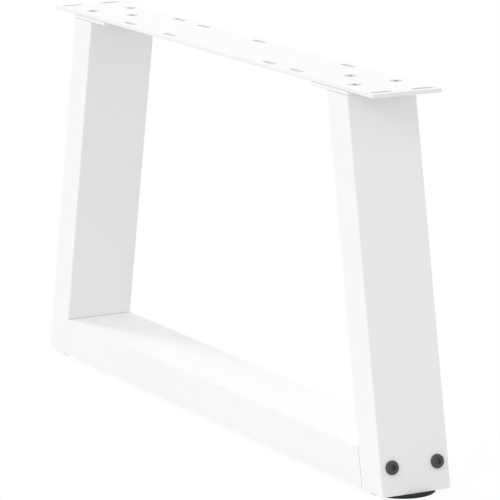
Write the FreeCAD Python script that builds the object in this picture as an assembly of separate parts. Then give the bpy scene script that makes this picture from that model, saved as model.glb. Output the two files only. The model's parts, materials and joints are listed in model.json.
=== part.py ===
"""Trestle table leg: two leaning box-section uprights, a bottom rail and a slotted top plate.

Millimetres. The origin is on the floor under the middle of the leg, +X runs along the leg,
+Y across it and +Z up. The leg stands on two levelling feet, drawn fully screwed in.
Pieces are made with the uprights' lower ends at z = 0 and lifted onto the feet when they are saved.
"""
import os

import FreeCAD
import Part
from math import atan, cos, degrees, radians, sin, tan

# The whole leg
LEG_WIDTH = 80.0
BASE_LENGTH = 750.0
UPRIGHT_HEIGHT = 396.0

# Box-section tubes
UPRIGHT_SECTION = 40.0
UPRIGHT_CORNER = 1.0
RAIL_HEIGHT = 42.0
TUBE_WALL = 1.5

# Small bevel along the lower edges of the top plate and the flanges
EDGE_BREAK = 0.5

# Top plate, which overhangs the flanges at both ends
PLATE_LENGTH = 700.0
PLATE_OVERHANG = 47.4
PLATE_THICKNESS = 4.0

# Fixing slots: two across each end, and a row along each side at these distances from the middle
SLOT_LENGTH = 24.0
SLOT_WIDTH = 7.0
END_SLOT_END_INSET = 10.0
END_SLOT_SIDE_INSET = 16.0
SIDE_SLOT_INSET = 9.5
NEAR_SLOTS = (-184.0, -92.0, 128.0, 184.0)
FAR_SLOTS = (-184.0, -126.0, -3.0, 184.0)

# Flange on top of each upright, a little longer than the upright on its outer side
FLANGE_LENGTH = 73.0
FLANGE_THICKNESS = 4.0
FLANGE_PROUD = 1.0

# Countersunk screws that hold the top plate to the flanges
SCREW_DIAMETER = 6.0
SCREW_LENGTH = 10.0
SCREW_HEAD_DIAMETER = 13.4
SCREW_SOCKET = 4.0
SCREW_SOCKET_DEPTH = 2.0
SCREW_SINK = 0.1
SCREW_OUTER_INSET = 13.6
SCREW_INNER_INSET = 10.0
SCREW_SIDE_INSET = 16.0

# Bolts that hold the rail between the uprights
BOLT_DIAMETER = 8.0
BOLT_SIDE_INSET = 13.5
BOLT_TAIL = 3.0
BOLT_HEAD_DIAMETER = 14.4
BOLT_HEAD_HEIGHT = 2.6
BOLT_HEAD_BEVEL = 0.6
BOLT_SOCKET = 6.0
BOLT_SOCKET_DEPTH = 1.8

# Plates welded inside the tube ends
END_PLATE_THICKNESS = 4.0
FOOT_PLATE_THICKNESS = 3.0
WELD_GAP = 0.2

# Weld nuts, the same for the rail bolts and the feet
NUT_FLATS = 13.0
NUT_HEIGHT = 6.5

# Levelling feet, set inward from the middle of the upright so that they reach under the rail's end
FOOT_INSET = 8.3
PAD_DIAMETER = 68.0
PAD_HEIGHT = 3.6
PAD_EDGE = 0.5
PAD_FLOOR = 1.2
PAD_GAP = 0.3
STUD_DIAMETER = 8.0
STUD_LENGTH = 30.0
STUD_HEAD_FLATS = 13.0

# Radial clearances
THREAD_CLEARANCE = 0.05
SEAT_CLEARANCE = 0.1
HOLE_CLEARANCE = 0.3

# Places that follow from the sizes above
GROUND_GAP = PAD_HEIGHT + PAD_GAP
FLANGE_OUTER = PLATE_LENGTH / 2 - PLATE_OVERHANG
FLANGE_INNER = FLANGE_OUTER - FLANGE_LENGTH
LEAN = atan((BASE_LENGTH / 2 - FLANGE_OUTER + FLANGE_PROUD) / UPRIGHT_HEIGHT)
UPRIGHT_LEVEL_SECTION = UPRIGHT_SECTION / cos(LEAN)
UPRIGHT_X = BASE_LENGTH / 2 - UPRIGHT_LEVEL_SECTION / 2
FOOT_X = UPRIGHT_X - FOOT_INSET
PLATE_BOTTOM = UPRIGHT_HEIGHT + FLANGE_THICKNESS
PLATE_TOP = PLATE_BOTTOM + PLATE_THICKNESS

# Cutters and uncut stock reach this far past what they cut
SPARE = UPRIGHT_SECTION + RAIL_HEIGHT

X_AXIS = FreeCAD.Vector(1, 0, 0)
Y_AXIS = FreeCAD.Vector(0, 1, 0)
Z_AXIS = FreeCAD.Vector(0, 0, 1)
ORIGIN = FreeCAD.Vector(0, 0, 0)


def block(x_low, x_high, width, z_low, z_high):
    """A box centred across the leg."""
    corner = FreeCAD.Vector(x_low, -width / 2, z_low)
    return Part.makeBox(x_high - x_low, width, z_high - z_low, corner)


def round_upright_edges(shape, radius):
    """The shape with its edges along Z rounded."""
    edges = [edge for edge in shape.Edges if abs(edge.tangentAt(edge.FirstParameter).z) > 0.999]
    return shape.makeFillet(radius, edges)


def bevel_lower_sides(shape):
    """The shape with a small bevel on the lower edges that run along the leg."""
    low = shape.BoundBox.ZMin
    lower = [edge for edge in shape.Edges if edge.BoundBox.ZMax < low + EDGE_BREAK]
    along = [edge for edge in lower if abs(edge.tangentAt(edge.FirstParameter).x) > 0.999]
    return shape.makeChamfer(EDGE_BREAK, along)


def upright_bar(inset):
    """A square-cornered bar along Z, that much inside an upright's faces and overlong at both ends."""
    half = UPRIGHT_SECTION / 2 - inset
    return block(-half, half, LEG_WIDTH - 2 * inset, -SPARE, UPRIGHT_HEIGHT / cos(LEAN) + SPARE)


def rail_bar(inset):
    """A square-cornered bar along X, that much inside the rail's faces and overlong at both ends."""
    half = BASE_LENGTH / 2
    return block(-half, half, LEG_WIDTH - 2 * inset, inset, RAIL_HEIGHT - inset)


def cylinder(diameter, start, direction, length):
    """A round bar or hole."""
    return Part.makeCylinder(diameter / 2, length, start, direction)


def hexagon(flats, start, direction, length):
    """A hexagonal bar, with corners up and down the line that crosses the leg at right angles."""
    corner_radius = flats / (2 * cos(radians(30)))
    corner_line = direction.cross(Y_AXIS) * corner_radius
    flat_line = Y_AXIS * corner_radius
    turns = [radians(60 * index) for index in range(6)]
    corners = [start + corner_line * cos(turn) + flat_line * sin(turn) for turn in turns]
    return Part.Face(Part.makePolygon(corners + corners[:1])).extrude(direction * length)


def turned(outline, position, direction):
    """A turned piece. Its outline is (radius, height) points, from the axis round to the axis."""
    points = [FreeCAD.Vector(radius, 0, height) for radius, height in outline]
    solid = Part.Face(Part.makePolygon(points + points[:1])).revolve(ORIGIN, Z_AXIS, 360)
    solid.Placement = FreeCAD.Placement(position, FreeCAD.Rotation(Z_AXIS, direction))
    return solid


def leaning(shape):
    """From the upright's own frame to the leg's. There x points outward and z along the tube."""
    moved = shape.copy()
    moved.rotate(ORIGIN, Y_AXIS, -degrees(LEAN))
    moved.translate(FreeCAD.Vector(UPRIGHT_X, 0, 0))
    return moved


def between_levels(shape, z_low, z_high):
    """The part of the shape between two levels."""
    return shape.common(block(-BASE_LENGTH, BASE_LENGTH, 2 * LEG_WIDTH, z_low, z_high))


def bolt_seats():
    """Where the rail bolts leave the upright's inner face, in the upright's own frame."""
    along = (RAIL_HEIGHT / 2 + UPRIGHT_SECTION / 2 * sin(LEAN)) / cos(LEAN)
    side = LEG_WIDTH / 2 - BOLT_SIDE_INSET
    return [FreeCAD.Vector(-UPRIGHT_SECTION / 2, y, along) for y in (-side, side)]


def screw_seats():
    """Middles of the three screws at the right end, at the top of the plate."""
    outer = FLANGE_OUTER - SCREW_OUTER_INSET
    inner = FLANGE_INNER + SCREW_INNER_INSET
    side = LEG_WIDTH / 2 - SCREW_SIDE_INSET
    return [FreeCAD.Vector(x, y, PLATE_TOP) for x, y in ((outer, -side), (outer, side), (inner, 0))]


def countersinks():
    """Cutters for the mouths of the right end's screw holes, one cone each."""
    mouth = SCREW_HEAD_DIAMETER / 2 + SCREW_SINK + SEAT_CLEARANCE
    return [turned([(0, -mouth), (mouth, 0), (0, 0)], seat, Z_AXIS) for seat in screw_seats()]


def screw_holes(diameter, z_low, z_high):
    """Cutters for the right end's screw holes between two levels."""
    starts = [FreeCAD.Vector(seat.x, seat.y, z_low) for seat in screw_seats()]
    return [cylinder(diameter, start, Z_AXIS, z_high - z_low) for start in starts]


def mirrored(shape):
    """The same piece at the other end of the leg."""
    return shape.mirror(ORIGIN, X_AXIS)


def slot(x, y, turn_deg):
    """A cutter for one slot with round ends, along X before it is turned."""
    straight = SLOT_LENGTH - SLOT_WIDTH
    cutter = block(-straight / 2, straight / 2, SLOT_WIDTH, PLATE_BOTTOM, PLATE_TOP)
    for end_x in (-straight / 2, straight / 2):
        end = FreeCAD.Vector(end_x, 0, PLATE_BOTTOM)
        cutter = cutter.fuse(cylinder(SLOT_WIDTH, end, Z_AXIS, PLATE_THICKNESS))
    cutter.rotate(ORIGIN, Z_AXIS, turn_deg)
    cutter.translate(FreeCAD.Vector(x, y, 0))
    return cutter


def slots():
    """Cutters for all the slots of the top plate."""
    end_x = PLATE_LENGTH / 2 - END_SLOT_END_INSET
    end_y = LEG_WIDTH / 2 - END_SLOT_SIDE_INSET
    side_y = LEG_WIDTH / 2 - SIDE_SLOT_INSET
    cutters = [slot(x, y, 90) for x in (-end_x, end_x) for y in (-end_y, end_y)]
    cutters += [slot(x, -side_y, 0) for x in NEAR_SLOTS]
    cutters += [slot(x, side_y, 0) for x in FAR_SLOTS]
    return cutters


def make_top_plate():
    """Flat bar across the top, slotted for the table top and countersunk for its own screws."""
    plate = block(-PLATE_LENGTH / 2, PLATE_LENGTH / 2, LEG_WIDTH, PLATE_BOTTOM, PLATE_TOP)
    holes = screw_holes(SCREW_DIAMETER + 2 * HOLE_CLEARANCE, PLATE_BOTTOM, PLATE_TOP)
    right_cutters = holes + countersinks()
    left_cutters = [mirrored(cutter) for cutter in right_cutters]
    return bevel_lower_sides(plate).cut(slots() + right_cutters + left_cutters)


def make_flange():
    """Plate welded on top of an upright, tapped for the plate screws."""
    flange = block(FLANGE_INNER, FLANGE_OUTER, LEG_WIDTH, UPRIGHT_HEIGHT, PLATE_BOTTOM)
    tapped = screw_holes(SCREW_DIAMETER + 2 * THREAD_CLEARANCE, UPRIGHT_HEIGHT, PLATE_BOTTOM)
    return bevel_lower_sides(flange).cut(tapped + countersinks())


def make_upright():
    """Leaning tube, cut level at both ends and drilled for the rail bolts."""
    stock = round_upright_edges(upright_bar(0), UPRIGHT_CORNER)
    hole = BOLT_DIAMETER + 2 * HOLE_CLEARANCE
    holes = [cylinder(hole, seat, X_AXIS, UPRIGHT_SECTION) for seat in bolt_seats()]
    return between_levels(leaning(stock.cut([upright_bar(TUBE_WALL)] + holes)), 0, UPRIGHT_HEIGHT)


def make_bottom_rail():
    """Tube between the uprights, with its ends cut to their slope."""
    low_reach = UPRIGHT_X - UPRIGHT_LEVEL_SECTION / 2
    high_reach = low_reach - RAIL_HEIGHT * tan(LEAN)
    outline = ((-low_reach, 0), (low_reach, 0), (high_reach, RAIL_HEIGHT), (-high_reach, RAIL_HEIGHT))
    corners = [FreeCAD.Vector(x, -LEG_WIDTH / 2, z) for x, z in outline]
    stock = Part.Face(Part.makePolygon(corners + corners[:1])).extrude(Y_AXIS * LEG_WIDTH)
    return stock.cut(rail_bar(TUBE_WALL))


def make_rail_end_plate():
    """Plate inside the rail's end, flush with it and drilled for the bolts."""
    face = -UPRIGHT_SECTION / 2
    slab = block(face - END_PLATE_THICKNESS, face, LEG_WIDTH, -SPARE, RAIL_HEIGHT + SPARE)
    hole = BOLT_DIAMETER + 2 * HOLE_CLEARANCE
    slab = slab.cut([cylinder(hole, seat, -X_AXIS, END_PLATE_THICKNESS) for seat in bolt_seats()])
    return leaning(slab).common(rail_bar(TUBE_WALL + WELD_GAP))


def make_rail_nuts():
    """Weld nuts behind the rail's end plate."""
    nuts = []
    for seat in bolt_seats():
        back = seat - X_AXIS * END_PLATE_THICKNESS
        bore = cylinder(BOLT_DIAMETER + 2 * THREAD_CLEARANCE, back, -X_AXIS, NUT_HEIGHT)
        nuts.append(leaning(hexagon(NUT_FLATS, back, -X_AXIS, NUT_HEIGHT).cut(bore)))
    return Part.makeCompound(nuts)


def make_rail_bolts():
    """Low-headed socket bolts through the upright into the weld nuts."""
    head = BOLT_HEAD_DIAMETER / 2
    shank = BOLT_DIAMETER / 2
    tip = -(UPRIGHT_SECTION + END_PLATE_THICKNESS + NUT_HEIGHT + BOLT_TAIL)
    outline = [(0, tip), (shank, tip), (shank, 0), (head, 0), (head, BOLT_HEAD_HEIGHT - BOLT_HEAD_BEVEL)]
    outline += [(head - BOLT_HEAD_BEVEL, BOLT_HEAD_HEIGHT), (0, BOLT_HEAD_HEIGHT)]
    bolts = []
    for seat in bolt_seats():
        outside = seat + X_AXIS * UPRIGHT_SECTION
        socket_floor = outside + X_AXIS * (BOLT_HEAD_HEIGHT - BOLT_SOCKET_DEPTH)
        socket = hexagon(BOLT_SOCKET, socket_floor, X_AXIS, BOLT_SOCKET_DEPTH)
        bolts.append(leaning(turned(outline, outside, X_AXIS).cut(socket)))
    return Part.makeCompound(bolts)


def make_plate_screws():
    """Countersunk socket screws, sunk just below the top of the plate."""
    shank = SCREW_DIAMETER / 2
    head = SCREW_HEAD_DIAMETER / 2
    top = -SCREW_SINK
    tip = top - SCREW_LENGTH
    outline = [(0, tip), (shank, tip), (shank, top - (head - shank)), (head, top), (0, top)]
    screws = []
    for seat in screw_seats():
        socket_floor = seat + Z_AXIS * (top - SCREW_SOCKET_DEPTH)
        socket = hexagon(SCREW_SOCKET, socket_floor, Z_AXIS, SCREW_SOCKET_DEPTH)
        screws.append(turned(outline, seat, Z_AXIS).cut(socket))
    return Part.makeCompound(screws)


def make_foot_plate():
    """Plate inside the upright's lower end, with a hole for the levelling foot."""
    core = leaning(upright_bar(TUBE_WALL + WELD_GAP))
    hole = STUD_DIAMETER + 2 * HOLE_CLEARANCE
    middle = FreeCAD.Vector(FOOT_X, 0, 0)
    plate = between_levels(core, 0, FOOT_PLATE_THICKNESS)
    return plate.cut(cylinder(hole, middle, Z_AXIS, FOOT_PLATE_THICKNESS))


def make_foot_nut():
    """Weld nut on top of the foot plate."""
    seat = FreeCAD.Vector(FOOT_X, 0, FOOT_PLATE_THICKNESS)
    bore = cylinder(STUD_DIAMETER + 2 * THREAD_CLEARANCE, seat, Z_AXIS, NUT_HEIGHT)
    return hexagon(NUT_FLATS, seat, Z_AXIS, NUT_HEIGHT).cut(bore)


def stud_head():
    """The stud's hexagonal head, which fills its pocket in the pad."""
    floor = FreeCAD.Vector(FOOT_X, 0, PAD_FLOOR - GROUND_GAP)
    return hexagon(STUD_HEAD_FLATS, floor, Z_AXIS, PAD_HEIGHT - PAD_FLOOR)


def make_foot_stud():
    """Threaded stud that raises and lowers the foot."""
    start = FreeCAD.Vector(FOOT_X, 0, -PAD_GAP)
    return stud_head().fuse(cylinder(STUD_DIAMETER, start, Z_AXIS, STUD_LENGTH))


def make_foot_pad():
    """Round plastic pad, moulded around the head of its stud."""
    rim = PAD_DIAMETER / 2
    outline = [(0, 0), (rim - PAD_EDGE, 0), (rim, PAD_EDGE), (rim, PAD_HEIGHT - PAD_EDGE)]
    outline += [(rim - PAD_EDGE, PAD_HEIGHT), (0, PAD_HEIGHT)]
    return turned(outline, FreeCAD.Vector(FOOT_X, 0, -GROUND_GAP), Z_AXIS).cut(stud_head())


def save(name, shape):
    """Writes one piece, lifted so that the feet stand on the floor."""
    lifted = shape.copy()
    lifted.translate(Z_AXIS * GROUND_GAP)
    lifted.exportStep(f"parts/{name}.step")


# Pieces that both ends have, drawn at the right end
PAIRED_PIECES = {
    "flange": make_flange,
    "upright": make_upright,
    "rail_end_plate": make_rail_end_plate,
    "rail_nuts": make_rail_nuts,
    "rail_bolts": make_rail_bolts,
    "plate_screws": make_plate_screws,
    "foot_plate": make_foot_plate,
    "foot_nut": make_foot_nut,
    "foot_stud": make_foot_stud,
    "foot_pad": make_foot_pad,
}

os.makedirs("parts", exist_ok=True)
save("top_plate", make_top_plate())
save("bottom_rail", make_bottom_rail())
for piece_name, make_piece in PAIRED_PIECES.items():
    right_piece = make_piece()
    save(f"right_{piece_name}", right_piece)
    save(f"left_{piece_name}", mirrored(right_piece))
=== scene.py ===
"""Looks of the trestle table leg: paint, hardware finishes, screw threads, studio and camera. Metres."""
import json
from math import ceil, cos, pi, radians, sin

import bmesh
import bpy
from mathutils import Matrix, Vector


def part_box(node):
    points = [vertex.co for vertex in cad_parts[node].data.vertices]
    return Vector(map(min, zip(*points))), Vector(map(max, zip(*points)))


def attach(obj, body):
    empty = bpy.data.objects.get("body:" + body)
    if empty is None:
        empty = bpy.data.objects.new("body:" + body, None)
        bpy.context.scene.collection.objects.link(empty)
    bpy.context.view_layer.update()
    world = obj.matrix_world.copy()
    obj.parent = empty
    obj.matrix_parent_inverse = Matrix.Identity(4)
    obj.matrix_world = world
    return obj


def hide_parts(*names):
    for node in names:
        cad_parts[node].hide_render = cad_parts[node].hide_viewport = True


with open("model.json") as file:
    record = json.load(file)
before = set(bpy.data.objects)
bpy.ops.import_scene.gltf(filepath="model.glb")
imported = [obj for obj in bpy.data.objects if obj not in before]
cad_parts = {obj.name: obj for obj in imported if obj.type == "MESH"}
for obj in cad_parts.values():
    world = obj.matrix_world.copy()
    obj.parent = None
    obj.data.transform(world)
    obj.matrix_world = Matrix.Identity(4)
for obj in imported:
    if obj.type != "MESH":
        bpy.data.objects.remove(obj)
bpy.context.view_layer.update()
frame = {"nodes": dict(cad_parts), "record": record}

# Camera, fitted to the photograph's edges
IMAGE_PIXELS = 500
SENSOR_MM = 36.0
FOCAL_PIXELS = 3849.3
CAMERA_AZIMUTH_DEG = 60.87
CAMERA_ELEVATION_DEG = 11.89
CAMERA_DISTANCE = 4.1355
CAMERA_REACH = 100.0
LOOK_AT = Vector((0.01275, 0.01037, 0.18501))

# Studio light: a room that is dimmer on its left, a soft key from the left and a weaker fill from the front
WHITE = (1.0, 1.0, 1.0, 1.0)
ROOM_SEEN = 1.0
ROOM_LEVEL = 0.865
ROOM_DIMNESS = 0.55
ROOM_DIM_FALL = 3.0
LAMPS = {
    "key": {"strength": 1.116, "angle_deg": 20.0, "from": (-0.81, -0.306, 0.5)},
    "fill": {"strength": 0.5375, "angle_deg": 20.0, "from": (0.229, -0.797, 0.559)},
}

# Floor: its colour where it is seen and where it throws light back, and how clear it is where it is seen
FLOOR_SIZE = 30.0
FLOOR_SEEN = (0.97, 0.97, 0.97, 1.0)
FLOOR_BOUNCE = (0.69, 0.69, 0.69, 1.0)
FLOOR_CLEARNESS = 0.93

# Finishes. A pattern is given as its cycles to the metre and its detail, and tones and roughness as ranges
PAINT_CLOUD = (9.0, 2.0)
PAINT_TONES = (0.895, 0.915)
PLATE_PAINT_TONES = (0.877, 0.897)
PAINT_PEEL = (900.0, 1.5)
PAINT_PEEL_DEPTH = 0.000012
PAINT_ROUGHNESS = (0.40, 0.50)
ZINC_CLOUD = (400.0, 3.0)
ZINC_COLOURS = ((0.585, 0.59, 0.6, 1.0), (0.685, 0.69, 0.695, 1.0))
ZINC_GRAIN = (2500.0, 2.0)
ZINC_GRAIN_DEPTH = 0.000006
ZINC_ROUGHNESS = (0.28, 0.42)
# The zinc inside the screws' sockets is painted dark as their shade
SOCKET_CLOUD = (900.0, 3.0)
SOCKET_SHADE_TONES = (0.17, 0.24)
SOCKET_ROUGHNESS = (0.45, 0.6)
OXIDE_GRAIN = (1800.0, 3.0)
OXIDE_GRAIN_DEPTH = 0.000008
OXIDE_TONES = (0.045, 0.061)
OXIDE_ROUGHNESS = (0.36, 0.5)
PLASTIC_GRAIN = (1500.0, 2.0)
PLASTIC_GRAIN_DEPTH = 0.00002
PLASTIC_TONES = (0.012, 0.02)
PLASTIC_ROUGHNESS = (0.5, 0.66)
PLASTIC_SHINE = 0.25

# Noise, and the share of light that reaches a seam, are stretched from this range
SPREAD_FROM = (0.3, 0.7)

# Painted shade in seams: how near to one a finish darkens, and how much of its colour is left there
SEAM_REACH = 0.002
SEAM_SHADE = 0.55
SEAM_SAMPLES = 8

# Walls of the top plate's holes, painted grey as their shade: faces that don't lie level and are clear of
# its own ends and sides
HOLE_WALL_SHADE_COLOUR = (0.73, 0.73, 0.73, 1.0)
LEVEL_FACING = 0.9
PLATE_END_MARGIN = 0.0005
PLATE_SIDE_MARGIN = 0.0007

# Threaded pieces. Each edge of a thread has its share of the pitch, and is on the crest or at the root
THREAD_EDGES = ((0.0, "crest"), (0.125, "crest"), (0.4375, "root"), (0.6875, "root"))
ROUND_STEPS = 48
SHARP_EDGE_DEG = 25.0
SAME_POINT = 0.000001
STUD_THREAD = {"radius": 0.004, "pitch": 0.00125, "depth": 0.00077, "taper": 0.0008}
STUD_HEAD_HEIGHT = 0.0024
SCREW_THREAD = {"radius": 0.003, "pitch": 0.001, "depth": 0.00061, "taper": 0.00065}
SCREW_HEAD_RADIUS = 0.0067
SCREW_SOCKET_FLATS = 0.004
SCREW_SOCKET_DEPTH = 0.002

# Place of the socket's finish, a dark zinc that paints the socket's shade, among the finishes of the screws
SOCKET_SHADE_FINISH = 1


def supply(owner, value, socket):
    """Feeds a socket of a material or the world from another socket, or sets it to a plain value."""
    if isinstance(value, bpy.types.NodeSocket):
        owner.node_tree.links.new(value, socket)
    else:
        socket.default_value = value


def calculate(owner, operation, first, second=0.0):
    """The result of a calculation on one or two values, which are numbers or sockets."""
    node = owner.node_tree.nodes.new("ShaderNodeMath")
    node.operation = operation
    supply(owner, first, node.inputs[0])
    supply(owner, second, node.inputs[1])
    return node.outputs["Value"]


def axis_of(owner, vector, axis):
    """One axis of a vector."""
    node = owner.node_tree.nodes.new("ShaderNodeSeparateXYZ")
    owner.node_tree.links.new(vector, node.inputs["Vector"])
    return node.outputs[axis]


def mix(material, factor, first, second, kind="MIX"):
    """A mix of two colours, which are plain colours or sockets."""
    node = material.node_tree.nodes.new("ShaderNodeMix")
    node.data_type = "RGBA"
    node.blend_type = kind
    supply(material, factor, node.inputs["Factor"])
    supply(material, first, node.inputs["A"])
    supply(material, second, node.inputs["B"])
    return node.outputs["Result"]


def grey(level):
    """A neutral colour."""
    return (level, level, level, 1.0)


def grey_between(material, value, tones):
    """A neutral colour between two tones, by a noise value."""
    low, high = tones
    return mix(material, value, grey(low), grey(high))


def noise(material, place, scale, detail):
    """A noise pattern with that many cycles to the metre."""
    node = material.node_tree.nodes.new("ShaderNodeTexNoise")
    node.inputs["Scale"].default_value = scale
    node.inputs["Detail"].default_value = detail
    material.node_tree.links.new(place, node.inputs["Vector"])
    return node.outputs["Fac"]


def spread(material, value, low, high):
    """A value stretched between two levels."""
    node = material.node_tree.nodes.new("ShaderNodeMapRange")
    node.inputs["From Min"].default_value, node.inputs["From Max"].default_value = SPREAD_FROM
    node.inputs["To Min"].default_value = low
    node.inputs["To Max"].default_value = high
    material.node_tree.links.new(value, node.inputs["Value"])
    return node.outputs["Result"]


def relief(material, shader, value, depth):
    """Surface relief from a noise value, that deep."""
    node = material.node_tree.nodes.new("ShaderNodeBump")
    node.inputs["Distance"].default_value = depth
    material.node_tree.links.new(value, node.inputs["Height"])
    material.node_tree.links.new(node.outputs["Normal"], shader.inputs["Normal"])


def painted_seam_shade(material):
    """Painted shade: near 1 on open faces, and less in seams and narrow hollows, where ambient occlusion
    darkens the colour.
    """
    node = material.node_tree.nodes.new("ShaderNodeAmbientOcclusion")
    node.inputs["Distance"].default_value = SEAM_REACH
    node.samples = SEAM_SAMPLES
    return spread(material, node.outputs["AO"], SEAM_SHADE, 1.0)


def within(material, vector, axis, limit):
    """1 where that axis of a vector is nearer to zero than the limit."""
    size = calculate(material, "ABSOLUTE", axis_of(material, vector, axis))
    return calculate(material, "LESS_THAN", size, limit)


def hole_walls(material, place):
    """1 on the walls of the top plate's slots and screw holes."""
    far_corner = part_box("top_plate")[1]
    facing = material.node_tree.nodes.new("ShaderNodeTexCoord").outputs["Normal"]
    steep = within(material, facing, "Z", LEVEL_FACING)
    inside_x = within(material, place, "X", far_corner.x - PLATE_END_MARGIN)
    inside_y = within(material, place, "Y", far_corner.y - PLATE_SIDE_MARGIN)
    inside = calculate(material, "MULTIPLY", inside_x, inside_y)
    return calculate(material, "MULTIPLY", steep, inside)


def new_material(name):
    """A node material with its shader and its object-space coordinates."""
    material = bpy.data.materials.new(name)
    material.use_nodes = True
    nodes = material.node_tree.nodes
    shader = nodes["Principled BSDF"]
    place = nodes.new("ShaderNodeTexCoord").outputs["Object"]
    return material, shader, place


def dress(material, shader, colour, roughness):
    """Gives the shader its colour and roughness."""
    material.node_tree.links.new(colour, shader.inputs["Base Color"])
    material.node_tree.links.new(roughness, shader.inputs["Roughness"])


def white_paint(name, tones, has_holes):
    """White powder coat: satin, with a fine orange peel, with painted shade in seams, and grey painted
    shade on the walls of holes where it has them.
    """
    material, shader, place = new_material(name)
    colour = grey_between(material, noise(material, place, *PAINT_CLOUD), tones)
    # Painted shade: the paint's colour darkens in seams and narrow hollows by ambient occlusion
    colour = mix(material, 1.0, colour, painted_seam_shade(material), "MULTIPLY")
    if has_holes:
        # Painted shade: the walls of the plate's slots and holes get a flat grey
        colour = mix(material, hole_walls(material, place), colour, HOLE_WALL_SHADE_COLOUR)
    peel = noise(material, place, *PAINT_PEEL)
    dress(material, shader, colour, spread(material, peel, *PAINT_ROUGHNESS))
    relief(material, shader, peel, PAINT_PEEL_DEPTH)
    return material


def zinc_plate():
    """Bright zinc plate, slightly cloudy, with painted shade in thread roots and seams."""
    material, shader, place = new_material("zinc_plate")
    cloud = noise(material, place, *ZINC_CLOUD)
    colour = mix(material, cloud, *ZINC_COLOURS)
    # Painted shade: the zinc's colour darkens in thread roots and seams by ambient occlusion
    colour = mix(material, 1.0, colour, painted_seam_shade(material), "MULTIPLY")
    dress(material, shader, colour, spread(material, cloud, *ZINC_ROUGHNESS))
    shader.inputs["Metallic"].default_value = 1.0
    relief(material, shader, noise(material, place, *ZINC_GRAIN), ZINC_GRAIN_DEPTH)
    return material


def socket_shade_zinc():
    """The same zinc inside a socket, painted dark as the socket's shade."""
    material, shader, place = new_material("socket_shade_zinc_plate")
    cloud = noise(material, place, *SOCKET_CLOUD)
    colour = grey_between(material, cloud, SOCKET_SHADE_TONES)
    dress(material, shader, colour, spread(material, cloud, *SOCKET_ROUGHNESS))
    shader.inputs["Metallic"].default_value = 1.0
    return material


def black_oxide():
    """Black oxide on steel, satin with a fine grain."""
    material, shader, place = new_material("black_oxide")
    grain = noise(material, place, *OXIDE_GRAIN)
    colour = grey_between(material, grain, OXIDE_TONES)
    dress(material, shader, colour, spread(material, grain, *OXIDE_ROUGHNESS))
    relief(material, shader, grain, OXIDE_GRAIN_DEPTH)
    return material


def black_plastic():
    """Black moulded plastic with a spark-eroded grain."""
    material, shader, place = new_material("black_plastic")
    grain = noise(material, place, *PLASTIC_GRAIN)
    colour = grey_between(material, grain, PLASTIC_TONES)
    dress(material, shader, colour, spread(material, grain, *PLASTIC_ROUGHNESS))
    shader.inputs["Specular IOR Level"].default_value = PLASTIC_SHINE
    relief(material, shader, grain, PLASTIC_GRAIN_DEPTH)
    return material


def finish_nodes(finishes):
    """Gives every node its slot's material. The top plate's slots and holes have walls painted grey as
    their shade.
    """
    slotted_paint = white_paint("white_powder_coat_with_holes", PLATE_PAINT_TONES, True)
    for part in frame["record"]["subparts"]:
        material = slotted_paint if part["node"] == "top_plate" else finishes[part["material_slot"]]
        for slot in frame["nodes"][part["node"]].material_slots:
            slot.material = material


def ring(shape, middle, radius, height, count):
    """Points round an upright line, with one on its +X side."""
    turns = [2 * pi * index / count for index in range(count)]
    places = [Vector((radius * cos(turn), radius * sin(turn), height)) for turn in turns]
    return [shape.verts.new(middle + place) for place in places]


def hexagon(shape, middle, flats, height):
    """A ring of six points with that distance between its flats."""
    return ring(shape, middle, flats / 2 / cos(pi / 6), height, 6)


def wall(shape, one, other):
    """Faces between two rings with as many points."""
    sides = [(one[index - 1], one[index], other[index], other[index - 1]) for index in range(len(one))]
    return [shape.faces.new(corners) for corners in sides]


def collar(shape, inner, outer):
    """Faces between two rings in a plane, where one has several times as many points as the other."""
    few, many = sorted((inner, outer), key=len)
    share = len(many) // len(few)
    for index in range(len(many)):
        before = few[round((index - 1) / share) % len(few)]
        after = few[round(index / share) % len(few)]
        corners = [many[index - 1], many[index], after]
        if before is not after:
            corners.append(before)
        shape.faces.new(corners)


def thread_point(middle, thread, line, step, bottom, top):
    """A point of a right-handed thread: on that edge line, and that many steps round the turn."""
    turn, edge = divmod(line, len(THREAD_EDGES))
    share, level = THREAD_EDGES[edge]
    height = bottom + (turn + share + step / ROUND_STEPS) * thread["pitch"]
    height = min(max(height, bottom), top)
    radius = thread["radius"] - (thread["depth"] if level == "root" else 0.0)
    tapered = thread["radius"] - thread["taper"] + min(height - bottom, top - height)
    radius = min(radius, tapered)
    angle = 2 * pi * step / ROUND_STEPS
    return middle + Vector((radius * cos(angle), radius * sin(angle), height))


def add_thread(shape, middle, thread, bottom, top):
    """A thread whose faces climb one pitch a turn. Returns the rings at its tapered ends."""
    edges = len(THREAD_EDGES)
    last = edges * ceil((top - bottom) / thread["pitch"])
    points = {}
    for line in range(-edges, last + edges + 1):
        for step in range(ROUND_STEPS):
            points[line, step] = shape.verts.new(thread_point(middle, thread, line, step, bottom, top))
        points[line - edges, ROUND_STEPS] = points[line, 0]
    for line in range(-edges, last):
        for step in range(ROUND_STEPS):
            corners = ((line, step), (line, step + 1), (line + 1, step + 1), (line + 1, step))
            shape.faces.new([points[corner] for corner in corners])
    return [[points[line, step] for step in range(ROUND_STEPS)] for line in (-edges, last)]


def add_stud(shape, low, high):
    """A threaded stud with a hexagonal head below, in the box of the plain one."""
    middle = Vector(((low.x + high.x) / 2, (low.y + high.y) / 2, 0.0))
    flats = high.y - low.y
    head_top = low.z + STUD_HEAD_HEIGHT
    sole, shoulder = [hexagon(shape, middle, flats, height) for height in (low.z, head_top)]
    neck, tip = add_thread(shape, middle, STUD_THREAD, head_top, high.z)
    shape.faces.new(sole)
    wall(shape, sole, shoulder)
    collar(shape, shoulder, neck)
    shape.faces.new(tip)


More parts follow.
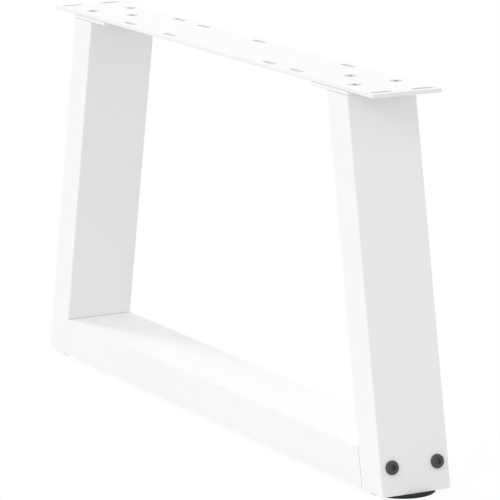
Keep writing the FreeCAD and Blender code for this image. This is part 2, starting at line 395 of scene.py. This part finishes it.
def add_screw(shape, middle, bottom, top):
    """A countersunk screw with a hexagonal socket."""
    neck_height = top - (SCREW_HEAD_RADIUS - SCREW_THREAD["radius"])
    tip, shank = add_thread(shape, middle, SCREW_THREAD, bottom, neck_height)
    neck = ring(shape, middle, SCREW_THREAD["radius"], neck_height, ROUND_STEPS)
    rim = ring(shape, middle, SCREW_HEAD_RADIUS, top, ROUND_STEPS)
    mouth = hexagon(shape, middle, SCREW_SOCKET_FLATS, top)
    floor = hexagon(shape, middle, SCREW_SOCKET_FLATS, top - SCREW_SOCKET_DEPTH)
    shape.faces.new(tip)
    wall(shape, shank, neck)
    wall(shape, neck, rim)
    collar(shape, mouth, rim)
    # Painted shade: the socket's walls and floor take the dark zinc
    for face in wall(shape, mouth, floor) + [shape.faces.new(floor)]:
        face.material_index = SOCKET_SHADE_FINISH


def add_screws(shape, low, high):
    """The three screws of one end, in the box of the plain ones. Two are on the outer side."""
    outer_x, inner_x = sorted((low.x, high.x), key=abs, reverse=True)
    inward = -SCREW_HEAD_RADIUS if outer_x > 0 else SCREW_HEAD_RADIUS
    side_y = high.y - SCREW_HEAD_RADIUS
    for x, y in ((outer_x + inward, -side_y), (outer_x + inward, side_y), (inner_x - inward, 0.0)):
        add_screw(shape, Vector((x, y, 0.0)), low.z, high.z)


def make_threaded(name, add_piece, node, body, materials):
    """A threaded piece in place of the plain node, with its finish and any dark finish of its sockets,
    which paints their shade.
    """
    shape = bmesh.new()
    add_piece(shape, *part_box(node))
    bmesh.ops.remove_doubles(shape, verts=shape.verts, dist=SAME_POINT)
    bmesh.ops.recalc_face_normals(shape, faces=shape.faces)
    mesh = bpy.data.meshes.new(name)
    shape.to_mesh(mesh)
    shape.free()
    mesh.shade_smooth()
    mesh.set_sharp_from_angle(angle=radians(SHARP_EDGE_DEG))
    for material in materials:
        mesh.materials.append(material)
    piece = bpy.data.objects.new(name, mesh)
    bpy.context.collection.objects.link(piece)
    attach(piece, body)
    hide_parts(node)


def seen_ray(owner):
    """1 for rays that show the background: from the camera, and by way of gloss or glass."""
    path = owner.node_tree.nodes.new("ShaderNodeLightPath").outputs
    direct_or_gloss = calculate(owner, "MAXIMUM", path["Is Camera Ray"], path["Is Glossy Ray"])
    return calculate(owner, "MAXIMUM", direct_or_gloss, path["Is Transmission Ray"])


def left_side(world):
    """1 straight to the left, and 0 from the middle of the room to its right."""
    direction = world.node_tree.nodes.new("ShaderNodeTexCoord").outputs["Generated"]
    leftward = calculate(world, "MULTIPLY", axis_of(world, direction, "X"), -1.0)
    return calculate(world, "POWER", calculate(world, "MAXIMUM", leftward, 0.0), ROOM_DIM_FALL)


def make_room():
    """White where it is seen, and a light below white where it lights the leg."""
    world = bpy.data.worlds.new("room")
    bpy.context.scene.world = world
    world.use_nodes = True
    nodes, links = world.node_tree.nodes, world.node_tree.links
    nodes.clear()
    dimness = calculate(world, "MULTIPLY", left_side(world), -ROOM_DIMNESS)
    level = nodes.new("ShaderNodeMapRange")
    links.new(seen_ray(world), level.inputs["Value"])
    links.new(calculate(world, "ADD", dimness, ROOM_LEVEL), level.inputs["To Min"])
    level.inputs["To Max"].default_value = ROOM_SEEN
    light = nodes.new("ShaderNodeBackground")
    light.inputs["Color"].default_value = WHITE
    links.new(level.outputs["Result"], light.inputs["Strength"])
    output = nodes.new("ShaderNodeOutputWorld")
    links.new(light.outputs["Background"], output.inputs["Surface"])


def floor_material():
    """Matt and pale, and almost clear where it is seen, in front of the white room."""
    material = bpy.data.materials.new("floor")
    material.use_nodes = True
    nodes, links = material.node_tree.nodes, material.node_tree.links
    nodes.clear()
    seen = seen_ray(material)
    matt = nodes.new("ShaderNodeBsdfDiffuse")
    links.new(mix(material, seen, FLOOR_BOUNCE, FLOOR_SEEN), matt.inputs["Color"])
    clear = nodes.new("ShaderNodeBsdfTransparent")
    clear.inputs["Color"].default_value = WHITE
    both = nodes.new("ShaderNodeMixShader")
    links.new(calculate(material, "MULTIPLY", seen, FLOOR_CLEARNESS), both.inputs["Fac"])
    links.new(matt.outputs["BSDF"], both.inputs[1])
    links.new(clear.outputs["BSDF"], both.inputs[2])
    output = nodes.new("ShaderNodeOutputMaterial")
    links.new(both.outputs["Shader"], output.inputs["Surface"])
    return material


def make_floor():
    """Pale floor that keeps the leg's shadow, and shows the feet when they are screwed out below it."""
    half = FLOOR_SIZE / 2
    corners = [(x, y, 0.0) for x, y in ((-half, -half), (half, -half), (half, half), (-half, half))]
    mesh = bpy.data.meshes.new("floor")
    mesh.from_pydata(corners, [], [(0, 1, 2, 3)])
    mesh.materials.append(floor_material())
    floor = bpy.data.objects.new("floor", mesh)
    bpy.context.collection.objects.link(floor)


def make_lamps():
    """The studio's soft lamps."""
    for name, settings in LAMPS.items():
        lamp = bpy.data.lights.new(name, "SUN")
        lamp.energy = settings["strength"]
        lamp.angle = radians(settings["angle_deg"])
        holder = bpy.data.objects.new(name, lamp)
        holder.rotation_mode = "QUATERNION"
        holder.rotation_quaternion = Vector(settings["from"]).to_track_quat("Z", "Y")
        bpy.context.collection.objects.link(holder)


def make_camera():
    """The photograph's viewpoint."""
    azimuth, elevation = radians(CAMERA_AZIMUTH_DEG), radians(CAMERA_ELEVATION_DEG)
    back = Vector((sin(azimuth) * cos(elevation), -cos(azimuth) * cos(elevation), sin(elevation)))
    lens = bpy.data.cameras.new("camera")
    lens.sensor_width = SENSOR_MM
    lens.lens = FOCAL_PIXELS * SENSOR_MM / IMAGE_PIXELS
    lens.clip_end = CAMERA_REACH
    camera = bpy.data.objects.new("camera", lens)
    camera.location = LOOK_AT + back * CAMERA_DISTANCE
    camera.rotation_mode = "QUATERNION"
    camera.rotation_quaternion = back.to_track_quat("Z", "Y")
    bpy.context.collection.objects.link(camera)
    bpy.context.scene.camera = camera


finishes = {
    "white_paint": white_paint("white_powder_coat", PAINT_TONES, False),
    "zinc_plate": zinc_plate(),
    "black_oxide": black_oxide(),
    "black_plastic": black_plastic(),
}
finish_nodes(finishes)
zinc = finishes["zinc_plate"]
# Dark zinc that paints the shade inside the screws' sockets
socket_shade_material = socket_shade_zinc()
for side in ("left", "right"):
    stud, screws = f"{side}_foot_stud", f"{side}_plate_screws"
    make_threaded(f"{side}_threaded_stud", add_stud, stud, f"{side}_foot", (zinc,))
    make_threaded(f"{side}_threaded_screws", add_screws, screws, "frame", (zinc, socket_shade_material))
make_room()
make_floor()
make_lamps()
make_camera()
bpy.context.scene.view_settings.view_transform = "Standard"
